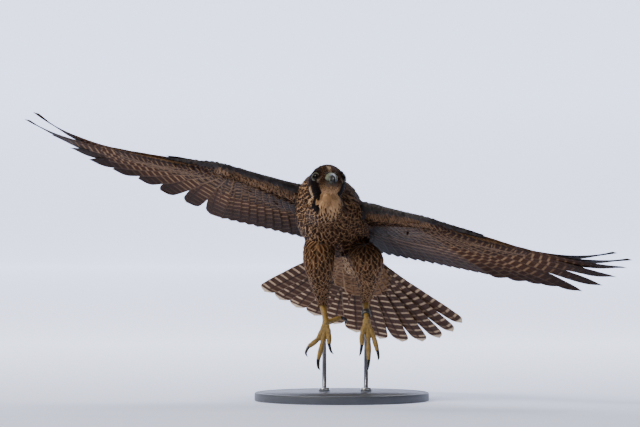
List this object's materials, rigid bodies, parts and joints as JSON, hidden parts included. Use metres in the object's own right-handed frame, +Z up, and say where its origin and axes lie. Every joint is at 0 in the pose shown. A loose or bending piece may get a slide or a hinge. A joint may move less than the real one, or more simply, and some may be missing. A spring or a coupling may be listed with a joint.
{
  "type": "peregrine falcon",
  "caption": "Life-size juvenile peregrine falcon in head-on banking flight, wings spread, tail fanned and legs lowered, held over a round display stand by thin rods.",
  "frame": {"origin": "centre of the underside of the stand's round base, on the floor", "axes": "+Z up; the bird flies towards -Y, turned a little to -X; +X is the bird's left, with its right wing reaching to -X"},
  "size_m": [0.8593, 0.439, 0.4149],
  "materials": {
    "plumage": "soft brown and buff plumage",
    "flight_feathers": "smooth barred flight feathers",
    "eye": "wet dark brown",
    "bill": "blue-grey horn",
    "foot_skin": "scaled yellow-olive skin",
    "claw": "black horn",
    "leg_ring": "dull grey band",
    "stand": "matt dark grey",
    "stand_rod": "satin steel"
  },
  "bodies": {
    "root": {"torso": "plumage", "neck": "plumage", "head": "plumage", "eye_r": "eye", "eye_l": "eye", "bill_upper": "bill", "bill_lower": "bill", "wing_r": "flight_feathers", "wing_l": "flight_feathers", "tail": "flight_feathers", "thigh_r": "plumage", "tarsus_r": "foot_skin", "foot_r": "foot_skin", "claw_r_1": "claw", "claw_r_2": "claw", "claw_r_3": "claw", "claw_r_4": "claw", "thigh_l": "plumage", "tarsus_l": "foot_skin", "foot_l": "foot_skin", "claw_l_1": "claw", "claw_l_2": "claw", "claw_l_3": "claw", "claw_l_4": "claw", "leg_ring_l": "leg_ring", "stand_base": "stand", "stand_rod_r": "stand_rod", "stand_rod_l": "stand_rod"}
  },
  "joints": []
}
